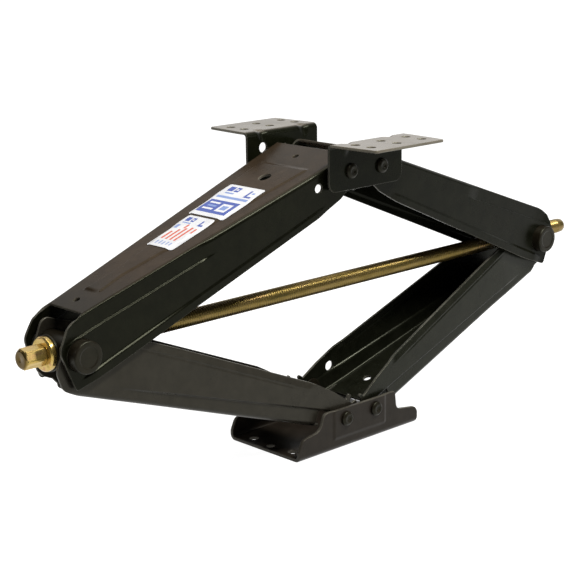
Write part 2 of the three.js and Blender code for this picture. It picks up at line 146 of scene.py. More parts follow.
# --------------------------------------------------------------- sheet pieces
def build_sheet(name, loops, inner, point, thick, place=None, rim=0.7, step=3.0,
                up=None, attrs=None):
    """A bent sheet: a flat pattern (outer loop, then holes) cut into triangles, bent
    by point() and given its thickness and rounded edges. The pattern is in mm."""
    loops = [resample(lp, step) for lp in loops]
    inner = np.array(inner, float).reshape(-1, 2)
    if len(inner):
        inner = inner[inside(inner, loops)]
        inner = inner[clear_of(inner, loops, max(1.5, rim * 1.8))]
    flat = np.array([p for lp in loops for p in lp] + [tuple(p) for p in inner])
    edges, k = [], 0
    for lp in loops:
        edges += [(k + i, k + (i + 1) % len(lp)) for i in range(len(lp))]
        k += len(lp)
    nb = k
    vs, _, fs, *_ = delaunay_2d_cdt([Vector(p) for p in flat], edges, [], 0, 1e-7)
    assert len(vs) == len(flat), (name, len(vs), len(flat))
    tris = np.array([list(f) for f in fs])
    tris = tris[inside(flat[tris].mean(1), loops)]

    def normals(p):
        e = 0.02
        du = point(p + [e, 0]) - point(p - [e, 0])
        dt = point(p + [0, e]) - point(p - [0, e])
        n = np.cross(du, dt)
        return n / np.linalg.norm(n, axis=1)[:, None]

    P, N = point(flat), normals(flat)
    if up is None:
        up = 1
    N = N * up                                     # outward on the outer face
    M = np.zeros_like(P)
    k = 0
    for li, lp in enumerate(loops):
        n = len(lp)
        idx = np.arange(k, k + n)
        lp = np.array(lp)
        area = 0.5 * np.sum(lp[:, 0] * np.roll(lp[:, 1], -1) - np.roll(lp[:, 0], -1) * lp[:, 1])
        tang2 = np.roll(lp, -1, 0) - np.roll(lp, 1, 0)
        out2 = np.stack([tang2[:, 1], -tang2[:, 0]], 1) * (1 if area > 0 else -1)
        if li > 0:
            out2 = -out2
        out2 /= np.linalg.norm(out2, axis=1)[:, None] + 1e-12
        T = np.roll(P[idx], -1, 0) - np.roll(P[idx], 1, 0)
        m = np.cross(T, N[idx])
        m /= np.linalg.norm(m, axis=1)[:, None] + 1e-12
        ref = point(flat[idx] + out2 * 0.05) - P[idx]
        m *= np.where((m * ref).sum(1) < 0, -1, 1)[:, None]
        M[idx] = m
        k += n
    bM, bN, bP = M[:nb], N[:nb], P[:nb]
    outer = P - M * rim
    under = P - N * thick - M * rim
    s = math.sqrt(0.5)
    c1 = bP - bM * rim - bN * rim
    c2 = bP - bM * rim - bN * (thick - rim)
    rings = [(c1 + rim * s * (bN + bM), s * (bN + bM)), (c1 + rim * bM, bM),
             (c2 + rim * bM, bM), (c2 + rim * s * (bM - bN), s * (bM - bN))]
    verts = [outer] + [r[0] for r in rings] + [under]
    norms = [N] + [r[1] for r in rings] + [-N]
    off = [0, len(flat)]
    for _ in rings[1:]:
        off.append(off[-1] + nb)
    off.append(off[-1] + nb)
    V = np.concatenate(verts)
    W = np.concatenate(norms)
    # winding of the outer face
    e1 = P[tris[:, 1]] - P[tris[:, 0]]
    e2 = P[tris[:, 2]] - P[tris[:, 0]]
    flip = (np.cross(e1, e2) * N[tris[:, 0]]).sum(1) < 0
    tris[flip] = tris[flip][:, ::-1]
    faces = [tuple(t) for t in tris] + [tuple(t[::-1] + off[-1]) for t in tris]
    edge_dir = {}
    for t in tris:
        for a, b in ((t[0], t[1]), (t[1], t[2]), (t[2], t[0])):
            edge_dir[(a, b)] = True
    k = 0
    for lp in loops:
        n = len(lp)
        ahead = sum((k + i, k + (i + 1) % n) in edge_dir for i in range(n)) > n / 2
        for i in range(n):
            a, b = k + i, k + (i + 1) % n
            if not ahead:
                a, b = b, a
            # the face next to a->b runs b->a
            chain = off + []
            for j in range(len(chain) - 1):
                a0, b0 = a + chain[j], b + chain[j]
                a1, b1 = a + chain[j + 1], b + chain[j + 1]
                faces.append((b0, a0, a1, b1))
        k += n
    if place is not None:
        V = place(V)
        W = place(W, True)
        if np.linalg.det(np.array([place(np.eye(3)[i:i + 1], True)[0] for i in range(3)])) < 0:
            faces = [f[::-1] for f in faces]
    obj = mesh_object(name, V * MM, faces, W)
    if attrs:
        vals = np.zeros(len(V))
        base = attrs[1](flat)
        vals[:len(flat)] = base
        vals[off[-1]:] = base
        for j in range(1, len(off) - 1):
            vals[off[j]:off[j] + nb] = base[:nb]
        at = obj.data.attributes.new(attrs[0], "FLOAT", "POINT")
        at.data.foreach_set("value", vals.astype(np.float32))
    # distance to the sheet's edges, for the painted highlight along the coat's edges
    edge_highlight_mask = np.zeros(len(V), np.float32)
    edge_highlight_mask[off[1]:off[-1]] = 1.0
    at = obj.data.attributes.new("edge", "FLOAT", "POINT")
    at.data.foreach_set("value", edge_highlight_mask)
    return obj


def mesh_object(name, verts, faces, normals=None):
    me = bpy.data.meshes.new(name)
    me.from_pydata([tuple(v) for v in verts], [], [tuple(int(i) for i in f) for f in faces])
    me.update()
    me.polygons.foreach_set("use_smooth", [True] * len(me.polygons))
    if normals is not None:
        n = normals / (np.linalg.norm(normals, axis=1)[:, None] + 1e-12)
        me.normals_split_custom_set_from_vertices([tuple(v) for v in n])
    obj = bpy.data.objects.new(name, me)
    bpy.context.scene.collection.objects.link(obj)
    return obj


# -------------------------------------------------------------- turned pieces
def soft_profile(pts, n=4):
    """(radius, along) profile whose corners carry a radius as a third number"""
    out = []
    for i, q in enumerate(pts):
        if len(q) < 3 or not q[2] or i in (0, len(pts) - 1):
            out.append((float(q[0]), float(q[1])))
        else:
            out.extend(fillet(pts[i - 1], q, pts[i + 1], q[2], n))
    return out


def turned(name, profile, axis, origin, seg=64, closed=False, angle=30):
    """A lathe piece about axis 'X' or 'Y' through origin; profile is (radius, along)"""
    prof = profile
    verts, faces = [], []
    rows = []
    for r, a in prof:
        if r < 1e-6:
            rows.append([len(verts)])
            verts.append((0.0, 0.0, a))
        else:
            rows.append(list(range(len(verts), len(verts) + seg)))
            verts.extend((r * math.cos(2 * math.pi * k / seg), r * math.sin(2 * math.pi * k / seg), a)
                         for k in range(seg))
    pairs = list(zip(rows, rows[1:]))
    if closed:
        pairs.append((rows[-1], rows[0]))
    for a, b in pairs:
        for k in range(seg):
            k2 = (k + 1) % seg
            if len(a) == 1 and len(b) == 1:
                continue
            if len(a) == 1:
                faces.append((a[0], b[k2], b[k]))
            elif len(b) == 1:
                faces.append((a[k], a[k2], b[0]))
            else:
                faces.append((a[k], a[k2], b[k2], b[k]))
    V = np.array(verts)
    if axis == "Y":
        V = V[:, [0, 2, 1]]
        faces = [f[::-1] for f in faces]
    elif axis == "X":
        V = V[:, [2, 0, 1]]
    V = V + np.array(origin)
    obj = mesh_object(name, V * MM, faces)
    fix_normals(obj)
    obj.data.set_sharp_from_angle(angle=math.radians(angle))
    return obj


def fix_normals(obj):
    import bmesh
    bm = bmesh.new()
    bm.from_mesh(obj.data)
    bmesh.ops.recalc_face_normals(bm, faces=bm.faces)
    bm.to_mesh(obj.data)
    bm.free()


# ------------------------------------------------------------------ materials
def node_material(name):
    mat = bpy.data.materials.new(name)
    mat.use_nodes = True
    nt = mat.node_tree
    bsdf = nt.nodes["Principled BSDF"]
    return mat, nt, bsdf


def add_node(nt, kind, **values):
    n = nt.nodes.new(kind)
    for k, v in values.items():
        if k in n.inputs:
            n.inputs[k].default_value = v
        else:
            setattr(n, k, v)
    return n


def ramp(nt, fac, stops):
    r = nt.nodes.new("ShaderNodeValToRGB")
    el = r.color_ramp.elements
    while len(el) < len(stops):
        el.new(0.5)
    for e, (p, c) in zip(el, stops):
        e.position = p
        e.color = (*c, 1) if len(c) == 3 else c
    nt.links.new(fac, r.inputs["Fac"])
    return r


def coat_steel(name, base, light, rough=(0.30, 0.44), spec=0.2, grain=1.0, edge_highlight_colour=(0.10, 0.095, 0.08),
               edge=0.5, tint=(0.95, 1.0, 0.78), top=None, top_spec=0.3):
    """Black coating over pressed steel: slight orange peel, hand marks, and a painted highlight along the edges.
    top is a painted lit tone: a lighter, warmer colour on the faces that look up (attribute "top"), where the light
    falls from above"""
    mat, nt, b = node_material(name)
    L = nt.links
    tc = nt.nodes.new("ShaderNodeTexCoord")
    big = add_node(nt, "ShaderNodeTexNoise", Scale=14.0, Detail=5.0, Roughness=0.6)
    fine = add_node(nt, "ShaderNodeTexNoise", Scale=420.0, Detail=3.0, Roughness=0.55)
    mid = add_node(nt, "ShaderNodeTexNoise", Scale=70.0, Detail=4.0, Roughness=0.65)
    for n in (big, fine, mid):
        L.new(tc.outputs["Object"], n.inputs["Vector"])
    colour = ramp(nt, mid.outputs["Fac"], [(0.30, base), (0.72, light)]).outputs["Color"]
    if top is not None:
        # painted light: the faces that look up (attribute "top") get a lighter, warmer colour standing in for the light
        # that falls on them from above
        up = add_node(nt, "ShaderNodeAttribute", attribute_name="top")
        painted_lit_top = ramp(nt, mid.outputs["Fac"], [(0.28, tuple(c * 0.72 for c in top)), (0.74, tuple(c * 1.2 for c in top))])
        mt = add_node(nt, "ShaderNodeMix", data_type="RGBA")
        L.new(up.outputs["Fac"], mt.inputs["Factor"])
        L.new(colour, mt.inputs["A"])
        L.new(painted_lit_top.outputs["Color"], mt.inputs["B"])
        colour = mt.outputs["Result"]
        sp = add_node(nt, "ShaderNodeMapRange")
        sp.inputs["To Min"].default_value = spec
        sp.inputs["To Max"].default_value = top_spec
        L.new(up.outputs["Fac"], sp.inputs["Value"])
        L.new(sp.outputs["Result"], b.inputs["Specular IOR Level"])
    else:
        b.inputs["Specular IOR Level"].default_value = spec
    # painted highlight: the sheet's edges (attribute "edge") are mixed towards a light colour, broken up by noise,
    # standing in for light glinting on the rounded edges
    at = add_node(nt, "ShaderNodeAttribute", attribute_name="edge")
    edge_highlight_mask = add_node(nt, "ShaderNodeMath", operation="MULTIPLY")
    thr = ramp(nt, big.outputs["Fac"], [(0.40, (edge * 0.3,) * 3), (0.62, (edge,) * 3)])
    L.new(at.outputs["Fac"], edge_highlight_mask.inputs[0])
    L.new(thr.outputs["Color"], edge_highlight_mask.inputs[1])
    mixe = add_node(nt, "ShaderNodeMix", data_type="RGBA")
    mixe.inputs["B"].default_value = (*edge_highlight_colour, 1)
    L.new(edge_highlight_mask.outputs[0], mixe.inputs["Factor"])
    L.new(colour, mixe.inputs["A"])
    L.new(mixe.outputs["Result"], b.inputs["Base Color"])
    rr = ramp(nt, big.outputs["Fac"], [(0.3, (rough[0],) * 3), (0.7, (rough[1],) * 3)])
    L.new(rr.outputs["Color"], b.inputs["Roughness"])
    bump = add_node(nt, "ShaderNodeBump", Strength=0.10 * grain, Distance=0.0006)
    L.new(mid.outputs["Fac"], bump.inputs["Height"])
    bump2 = add_node(nt, "ShaderNodeBump", Strength=0.08 * grain, Distance=0.0002)
    L.new(fine.outputs["Fac"], bump2.inputs["Height"])
    L.new(bump.outputs["Normal"], bump2.inputs["Normal"])
    L.new(bump2.outputs["Normal"], b.inputs["Normal"])
    b.inputs["Specular Tint"].default_value = (*tint, 1)
    return mat


def yellow_zinc(name, tint=1.0, rough=(0.24, 0.42), painted_shade_end=False):
    """Yellow chromate over steel: gold with olive and pinkish drifts, turned marks"""
    mat, nt, b = node_material(name)
    L = nt.links
    tc = nt.nodes.new("ShaderNodeTexCoord")
    mp = add_node(nt, "ShaderNodeMapping")
    mp.inputs["Scale"].default_value = (10, 60, 60)
    L.new(tc.outputs["Object"], mp.inputs["Vector"])
    drift = add_node(nt, "ShaderNodeTexNoise", Scale=2.2, Detail=4.0, Roughness=0.6)
    L.new(mp.outputs["Vector"], drift.inputs["Vector"])
    fine = add_node(nt, "ShaderNodeTexNoise", Scale=900.0, Detail=2.0)
    L.new(tc.outputs["Object"], fine.inputs["Vector"])
    t = tint
    col = ramp(nt, drift.outputs["Fac"], [
        (0.30, (0.26 * t, 0.210 * t, 0.060 * t)), (0.44, (0.50 * t, 0.355 * t, 0.095 * t)),
        (0.56, (0.62 * t, 0.45 * t, 0.155 * t)), (0.70, (0.50 * t, 0.29 * t, 0.13 * t))])
    colour = col.outputs["Color"]
    if painted_shade_end:                               # painted shade: the sawn end face is darkened to brown
        sx = nt.nodes.new("ShaderNodeSeparateXYZ")
        L.new(tc.outputs["Object"], sx.inputs[0])
        mr = add_node(nt, "ShaderNodeMapRange")
        mr.inputs["From Min"].default_value = -0.3957
        mr.inputs["From Max"].default_value = -0.3932
        L.new(sx.outputs["X"], mr.inputs["Value"])
        mx = add_node(nt, "ShaderNodeMix", data_type="RGBA")
        mx.inputs["A"].default_value = (0.085, 0.055, 0.014, 1)
        L.new(mr.outputs["Result"], mx.inputs["Factor"])
        L.new(colour, mx.inputs["B"])
        colour = mx.outputs["Result"]
    L.new(colour, b.inputs["Base Color"])
    b.inputs["Metallic"].default_value = 0.9
    rr = ramp(nt, drift.outputs["Fac"], [(0.3, (rough[1],) * 3), (0.7, (rough[0],) * 3)])
    L.new(rr.outputs["Color"], b.inputs["Roughness"])
    bump = add_node(nt, "ShaderNodeBump", Strength=0.12, Distance=0.0002)
    L.new(fine.outputs["Fac"], bump.inputs["Height"])
    L.new(bump.outputs["Normal"], b.inputs["Normal"])
    return mat


# One black coat in lit and shaded copies: the base, light and specular values differ per part only to match how bright
# each part looks, which is painted light and shade (lower left arm lightest, then the base, lower right, upper right,
# bracket, upper left darkest). The top colours are the painted lit tone of the faces that look up.
MAT_SHEET = coat_steel("sheet_coat", (0.0010, 0.0011, 0.0005), (0.0030, 0.0031, 0.0016), rough=(0.20, 0.30), spec=0.085, tint=(0.96, 1.0, 0.74),
                       top=(0.023, 0.0155, 0.0098), top_spec=0.045)
MAT_LOW = coat_steel("lower_arm_coat", (0.0090, 0.0080, 0.0060), (0.0150, 0.0134, 0.0102), rough=(0.24, 0.34), spec=0.17, tint=(1.0, 0.98, 0.82))
MAT_LOW2 = coat_steel("lower_arm_coat_b", (0.0026, 0.0029, 0.0016), (0.0062, 0.0066, 0.0042), rough=(0.22, 0.32), spec=0.11)
MAT_UP2 = coat_steel("upper_arm_coat_b", (0.0022, 0.0024, 0.0014), (0.0046, 0.0048, 0.0030), rough=(0.22, 0.32), spec=0.05,
                     top=(0.023, 0.0155, 0.0098), top_spec=0.045)
MAT_BASE = coat_steel("base_coat", (0.0062, 0.0048, 0.0036), (0.0110, 0.0088, 0.0068), rough=(0.28, 0.42), spec=0.13, tint=(1.0, 0.94, 0.82))
MAT_TOP = coat_steel("bracket_coat", (0.0014, 0.0017, 0.0007), (0.0036, 0.0040, 0.0019), rough=(0.22, 0.32), spec=0.07,
                     top=(0.060, 0.049, 0.037), top_spec=0.42)
MAT_PIN = coat_steel("pin_coat", (0.0036, 0.0028, 0.0016), (0.0082, 0.0066, 0.0042), rough=(0.26, 0.40), spec=0.13, grain=0.6, edge=0.2)
MAT_ZINC = yellow_zinc("screw_zinc_look", tint=0.31)
MAT_HEX = yellow_zinc("hex_zinc_look", tint=0.80, rough=(0.16, 0.30), painted_shade_end=True)


def finish_piece(obj, mat, body, slot, *nodes):
    obj.data.materials.clear()
    obj.data.materials.append(mat)
    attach(obj, body)
    if nodes:
        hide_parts(*nodes)
    return obj


# ------------------------------------------------------------------- the arms
def tooth(mid):
    m = 2 * PITCH_R / TEETH
    rb = PITCH_R * math.cos(math.radians(20))
    ra, rf = PITCH_R + 0.72 * m, PITCH_R - 1.02 * m

    def inv(r):
        c = min(1, rb / r)
        return math.tan(math.acos(c)) - math.acos(c)

    hp = math.pi / (2 * TEETH) - 0.45 / PITCH_R

    def half(r):
        return hp + inv(PITCH_R) - inv(max(r, rb))

    rs = [rf, rb, rb + (ra - rb) * 0.35, rb + (ra - rb) * 0.7, ra]
    pts = [(r, -half(r)) for r in rs] + [(r, half(r)) for r in rs][::-1]
    return [(r * math.cos(mid + a), r * math.sin(mid + a)) for r, a in pts]


def sector(u, v, a0, a1, shift):
    step = 360 / TEETH
    a = math.ceil((a1 - shift) / step) * step + shift
    pts = []
    while a <= a0:
        pts += tooth(math.radians(a))
        a += step
    return [(p + u, q + v) for p, q in pts]


class Arm:
    """One channel arm in its own frame: u from the trunnion to the far pivot, y
    across, v to the outside of the diamond. t runs round the section from the
    middle of the web, over the bend and down the wall."""

    def __init__(self, name, sx, upper):
        self.name, self.sx, self.upper = name, sx, upper
        if upper:
            self.w0, self.w1, self.stop = (19.7, 34.4), (364.4, 13.2), (19.7, 364.4)
            self.R = 5.0
        else:
            self.w0, self.w1, self.stop = (22, 38.3), (319, 17.6), (22, 319)
            self.R = 6.0
        self.slope = (self.w1[1] - self.w0[1]) / (self.w1[0] - self.w0[0])

    def w(self, u):
        return self.w0[1] + self.slope * (u - self.w0[0])

    def h(self, u):
        """outside half width at the web"""
        if self.upper:
            return 28.5 + 0.081 * knee(u, 20)
        return 23.1 + 0.073 * knee(u, 27) - self.inset(u)

    def inset(self, u):
        """how far the strip next to the web stands back on the lower arms"""
        return 1.0 + 1.2 * smooth(50, 120, u) * (1 - smooth(300, 335, u))

    def t_of(self, u, v):
        u, v = np.asarray(u, float), np.asarray(v, float)
        w, h, R = self.w(u), self.h(u), self.R
        corner = h - R + math.pi / 2 * R
        q = np.clip((v - (w - R)) / R, 0, 1)
        return np.where(v <= w - R, corner + (w - R - v), h - R + R * (math.pi / 2 - np.arcsin(q)))

    def jog(self, u):
        """the pressed step along the wall, as v"""
        if self.upper:
            return 17.5 - 0.056 * u if self.sx < 0 else 20.5 - 0.066 * u
        return 18.8 - 0.0937 * (u - 99)

    def wall_offset(self, u, v, side):
        vj = self.jog(u)
        if self.upper:
            step = -1.7 * smooth(vj - 1.0, vj + 1.0, v) * (1 - smooth(150, 176, u)) * smooth(-14, 4, u)
            amount = 2.0 - 1.0 * smooth(70, 150, u)
            lip = amount * smooth(-19.4, -22.6, v) * (1 - smooth(296, 316, u)) * smooth(-14, 6, u)
            return step + lip
        back = self.inset(u) * smooth(vj + 1.3, vj - 1.3, v) * smooth(40, 80, u)
        lip = -2.1 * np.clip((-20.4 - v) / 6.4, 0, 1) * smooth(40, 70, u) * (1 - smooth(288, 306, u))
        groove = -0.5 * smooth(-16.5, -18.6, v) * smooth(-20.4, -19.4, v) * smooth(60, 90, u) * (1 - smooth(250, 300, u))
        return back + lip + groove

    def rows(self, u):
        """v of the mesh rows down the wall, following the pressed lines"""
        vj = float(self.jog(u))
        jog = [vj + k for k in (4.2, 3.0, 2.1, 1.4, 0.9, 0.45, 0, -0.45, -0.9, -1.4, -2.1, -3.0, -4.2)]
        low = [-16.2, -17.4, -18.4, -19.2, -19.9, -20.5, -21.1, -21.8, -22.5, -23.3, -24.2, -25.2, -26.2, -27.3]
        top = float(self.w(u)) - self.R - 0.8
        out = []
        if top - jog[0] > 2.5:
            n = int((top - jog[0]) / 2.4) + 1
            out += [top - (top - jog[0]) * k / n for k in range(n)]
        out += [v for v in jog if v < top]
        n = 9
        out += [jog[-1] + (low[0] - jog[-1]) * k / n for k in range(1, n)]
        return out + low

    def web_offset(self, u, y):
        if not self.upper:
            return 0.0 * u
        half = np.where(u > 86, 7.5 + (u - 86) * 0.122, 7.5 + (86 - u) * 0.10)
        a = np.abs(y)
        across = smooth(half + 1.2, half - 1.2, a)
        along = smooth(52.0, 55.5, u + 0.12 * y) * smooth(320, 316.5, u)
        return 1.3 * across * along

    def local(self, p):
        """pattern (u, t) -> (u, y, v), on the outside of the sheet"""
        u, t = p[:, 0], p[:, 1]
        side = np.where(t < 0, -1.0, 1.0)
        a = np.abs(t)
        w, h, R = self.w(u), self.h(u), self.R
        f0 = h - R
        th = np.clip((a - f0) / R, 0, math.pi / 2)
        down = np.maximum(0, a - f0 - math.pi / 2 * R)
        y = np.where(a < f0, a, f0 + R * np.sin(th))
        v = np.where(a < f0, w, w - R + R * np.cos(th)) - down
        wall = self.wall_offset(u, v, side) * smooth(0.5, 1.4, th)
        web = self.web_offset(u, y * side) * smooth(1.0, 0.2, th)
        y = y + wall
        v = v + web
        return np.stack([u, y * side, v], 1)

    def place(self, V, vector=False):
        sx, sz = self.sx, (1 if self.upper else -1)
        out = np.stack([V[:, 0] * (-sx * CP) + V[:, 2] * (sx * SP), V[:, 1],
                        V[:, 0] * (sz * SP) + V[:, 2] * (sz * CP)], 1)
        return out if vector else out + np.array([sx * TRUN_X, 0, TRUN_Z])

    def wall_outline(self, side):
        """the wall's edge from the web's near corner round to its far corner"""
        shift = -22.7 + (15 if self.sx > 0 else 0)
        w = self.w
        ear = sector(ARM_L, 0, 20, -88, shift)
        if self.upper:
            pts = [(-20, -28.5, 4), (300, -28.5, 40), (334, -25.2, 10), *ear,
                   (364.4, w(364.4)), (19.7, w(19.7)), (-2, 31.5, 9), (-20, 17, 13)]
        else:
            pts = [(-18, -25, 9), (70, -27.5, 0), (296, -27.5, 40), (332, -23.6, 10), *ear,
                   *[(ARM_L + 19.6 * math.cos(math.radians(a)), 19.6 * math.sin(math.radians(a)))
                     for a in np.linspace(45, 100 if side > 0 else 150, 12)],
                   *([] if side > 0 else [(ARM_L - 22, -1.2, 2), (319, -1.2, 2)]),
                   (319, w(319)), (22, w(22)),
                   (-4, 37.4, 10), (-18, 22, 13)]
            if side == -self.sx:          # one wall's trunnion end is cropped
                pts = pts[:-2] + [(21.9, 35.0), (14.7, 31.2, 3), (2.4, 30.8, 4), (-5.5, 27.2, 4),
                                  (-18, 12.5, 6)]
        out = rounded(pts, 6)
        return out

    def pattern(self):
        # walls: walk the outline from the web's ear end corner to the trunnion end corner
        lo, hi = self.stop
        halves = {}
        for side in (-1, 1):
            pts = self.wall_outline(side)
            i0 = min(range(len(pts)), key=lambda i: math.dist(pts[i], (hi, self.w(hi))))
            pts = pts[i0:] + pts[:i0]
            # pts[0] is (hi, w); next is (lo, w) and then round to the ears
            halves[side] = pts
        def to_t(pts, side):
            q = np.array(pts)
            t = self.t_of(q[:, 0], q[:, 1])
            return [(float(a), float(side * b)) for a, b in zip(q[:, 0], t)]
        near = to_t(halves[-1][1:] + halves[-1][:1], -1)   # from (lo, w) round to (hi, w)
        far = to_t(halves[1][1:] + halves[1][:1], 1)
        # near: trunnion corner -> ... -> ears -> ear corner of the web; far back the other way
        tongue = []
        if not self.upper:                     # the web runs on past the walls
            e = float(self.h(319)) - self.R
            tongue = rounded([(322, -e, 0), (323.5, 1.4 - e, 0), (334, 1.8 - e, 4), (334, e - 1.8, 4), (323.5, e - 1.4, 0), (322, e, 0)])
        loop = near + tongue + far[::-1]
        return loop


def arm_piece(arm, holes_wall, holes_web, mat, body, node):
    loop = arm.pattern()
    loop = resample(loop, 3.0)
    holes = []
    for side, u, v, r in holes_wall:
        t = float(arm.t_of(u, v)) * side
        holes.append(circle(u, t, r, 36 if r > 8 else 22))
    for u, y, ru, ry in holes_web:
        holes.append(circle(u, y, 1.0, 22, ru, ry))
    inner = []
    for u in np.arange(-19, 381, 3.6):
        w, h, R = float(arm.w(u)), float(arm.h(u)), arm.R
        f0 = h - R
        if arm.upper:
            e = 7.5 + abs(u - 86) * (0.122 if u > 86 else 0.10)
            ts = [e * k / 4 for k in range(4)] + [e - 1.2, e - 0.6, e, e + 0.6, e + 1.2]
            n = max(2, int((f0 - e - 1.2) / 2.6))
            ts += [e + 1.2 + (f0 - e - 1.2) * k / n for k in range(1, n + 1)]
            ts = [t for i, t in enumerate(ts) if i == 0 or t > ts[i - 1] + 0.3]
        else:
            ts = list(np.linspace(0, f0, max(6, int(f0 / 2.6))))
        ts += [f0 + R * math.pi / 2 * k / 7 for k in range(1, 8)]
        ts += [float(arm.t_of(u, v)) for v in arm.rows(u)]
        for t in ts:
            inner.append((u, t))
            if t > 0:
                inner.append((u, -t))
    # painted light and shade: mask of the web's top face for the painted lit tone, full in the middle of the arm and
    # weaker towards the nut end and the ears, as painted shade
    def painted_light_web_mask(f):
        m = 1 - smooth(-0.5, 4.0, np.abs(f[:, 1]) - (arm.h(f[:, 0]) - arm.R))
        return m * (0.35 + 0.65 * smooth(15, 110, f[:, 0]) * (1 - 0.5 * smooth(270, 340, f[:, 0])))

    obj = build_sheet(arm.name, [loop] + holes, inner, arm.local, 3.0, arm.place, rim=0.8,
                      step=3.0, up=sheet_side(arm), attrs=("top", painted_light_web_mask) if arm.upper else None)
    return finish_piece(obj, mat, body, "frame_steel", node)


def sheet_side(arm):
    """+1 or -1, so that the pattern's normal points out of the channel"""
    p = np.array([[150.0, 0.0]])
    e = 0.05
    du = arm.local(p + [e, 0]) - arm.local(p - [e, 0])
    dt = arm.local(p + [0, e]) - arm.local(p - [0, e])
    return 1 if np.cross(du, dt)[0][2] > 0 else -1


PIN_R, TRUN_R = 5.3, 16.3
UL = Arm("upper_left_channel", -1, True)
UR = Arm("upper_right_channel", 1, True)
LL = Arm("lower_left_channel", -1, False)
LR = Arm("lower_right_channel", 1, False)
both = [(s, 0, 0, TRUN_R) for s in (-1, 1)] + [(s, ARM_L, 0, PIN_R) for s in (-1, 1)]
arm_piece(UL, both + [(-1, 311.5, 0.5, 4.6)],
          [(291.5, 0, 7.2, 6.4), (342, 4, 3.6, 3.2), (35, 2, 3.4, 3.0)], MAT_SHEET, "upper_left", "upper_left_arm")
arm_piece(UR, both + [(1, 311.5, 0.5, 4.6)],
          [(291.5, 0, 7.2, 6.4), (342, -4, 3.6, 3.2), (35, -2, 3.4, 3.0)], MAT_UP2, "upper_right", "upper_right_arm")
arm_piece(LL, both + [(1, 318, -9, 5.5)], [(296, -12, 4.6, 4.2)], MAT_LOW, "lower_left", "lower_left_arm")
arm_piece(LR, both + [(1, 318, -9, 5.5)], [(296, 12, 4.6, 4.2)], MAT_LOW2, "lower_right", "lower_right_arm")


# ------------------------------------------------------------------- the base
class BaseSheet:
    """U-channel. Pattern (x, t): t from the middle of the floor, over the bend and
    up the wall."""
    R, HW, Z0 = 7.0, 55.0, 0.0

    def point(self, p):
        x, t = p[:, 0], p[:, 1]
        side = np.where(t < 0, -1.0, 1.0)
        a = np.abs(t)
        R, f0 = self.R, self.HW - self.R
        th = np.clip((a - f0) / R, 0, math.pi / 2)
        up = np.maximum(0, a - f0 - math.pi / 2 * R)
        y = np.where(a < f0, a, f0 + R * np.sin(th))
        z = np.where(a < f0, 0, R - R * np.cos(th)) + up
        # the pivots' boss: a raised panel on each wall
        pan = smooth(-43, -39, x) * smooth(41, 37, x) * smooth(12.2, 15.4, z)
        y = y + 1.1 * pan * smooth(0.6, 1.5, th)
        return np.stack([x, y * side, z], 1)

    def t_of(self, z):
        return self.HW - self.R + math.pi / 2 * self.R + (z - self.R)


def base_piece():
    B = BaseSheet()
    hl = 93.5
    wall = rounded([(-hl, -5), (hl, -5), (hl, 19.3, 9), (58.6, 24.3, 8), (56, 46, 4),
                    (-55, 46, 7), (-61.5, 28.3, 12), (-hl + 6, 24.3, 9), (-hl, 11, 8)], 7)
    top = [q for q in wall if q[1] > 0]
    # from the right end up and over to the left end
    i0 = min(range(len(top)), key=lambda i: (abs(top[i][0] - hl) > 0.01, top[i][1]))
    top = top[i0:] + top[:i0]
    near = [(hl, -(B.HW - B.R) + 0.0)] + [(x, -B.t_of(z)) for x, z in top if z > B.R] + [(-hl, -(B.HW - B.R))]
    far = [(x, -t) for x, t in near][::-1]
    loop = near + far
    holes = [circle(s * 23, side * B.t_of(34.0), PIN_R, 24) for s in (-1, 1) for side in (-1, 1)]
    for s in (-1, 1):
        for y in (-31, 0, 31):
            holes.append(circle(s * (80 if y else 84), y, 5.0 if y else 4.5, 24))
    inner = []
    for x in np.arange(-91, 92, 2.6):
        ts = list(np.linspace(0, 48, 17)) + [48 + 11.0 * k / 7 for k in range(1, 8)]
        ts += list(np.arange(61, 100, 1.9))
        inner += [(x, t) for t in ts] + [(x, -t) for t in ts if t > 0]
    obj = build_sheet("base_channel_sheet", [loop] + holes, inner, B.point, 4.0, None, rim=0.9,
                      step=2.5, up=base_side(B))
    return finish_piece(obj, MAT_BASE, "base", "frame_steel", "base_channel")


def base_side(B):
    p = np.array([[0.0, 1.0]])
    e = 0.05
    n = np.cross(B.point(p + [e, 0]) - B.point(p - [e, 0]), B.point(p + [0, e]) - B.point(p - [0, e]))[0]
    return 1 if n[2] < 0 else -1


base_piece()


# --------------------------------------------------------------- the brackets
class BracketSheet:
    """Angle bracket. Pattern (x, t): t up the wall from its lower edge, over the
    bend and out along the flange."""
    R = 6.0

    def __init__(self, side):
        self.side = side
        self.zb, self.zt = TOP_Z - 20, TOP_Z + 30.6
        self.yi, self.t = 60.7, 3.0

    def point(self, p):
        # the reference face is the inner one: inside of the wall and top of the flange
        x, t = p[:, 0], p[:, 1]
        R = self.R
        rise = self.zt - self.zb - R
        th = np.clip((t - rise) / R, 0, math.pi / 2)
        out = np.maximum(0, t - rise - math.pi / 2 * R)
        y = np.where(t < rise, 0, R - R * np.cos(th)) + out
        z = np.where(t < rise, t, rise + R * np.sin(th))
        # stiffening darts pressed into the bend
        dart = 0.0
        for c in (-32.5, 30.5):
            k = np.abs(x - c)
            reach = 11.5
            d = np.minimum(np.maximum(rise - t + 1.5, 0), reach) / reach      # 0 at bend .. 1 down the wall
            e = np.minimum(np.maximum(t - rise - math.pi / 2 * R, 0), 7.0) / 7.0
            fall = np.maximum(d, e)
            wide = 6.5 * (1 - fall) + 2.2
            dart = dart + 2.1 * smooth(1.0, 0.0, fall) * smooth(1.0, 0.0, k / wide)
        ny, nz = -np.cos(np.clip(th, 0, math.pi / 2)), np.sin(np.clip(th, 0, math.pi / 2))
        y = y - dart * ny * 0.9
        z = z - dart * nz * 0.9
        return np.stack([x, self.side * (self.yi + y), self.zb + z], 1)

    def t_wall(self, z):
        return z - self.zb

    def t_flange(self, y):
        R = self.R
        return self.zt - self.zb - R + math.pi / 2 * R + (y - self.yi - R)


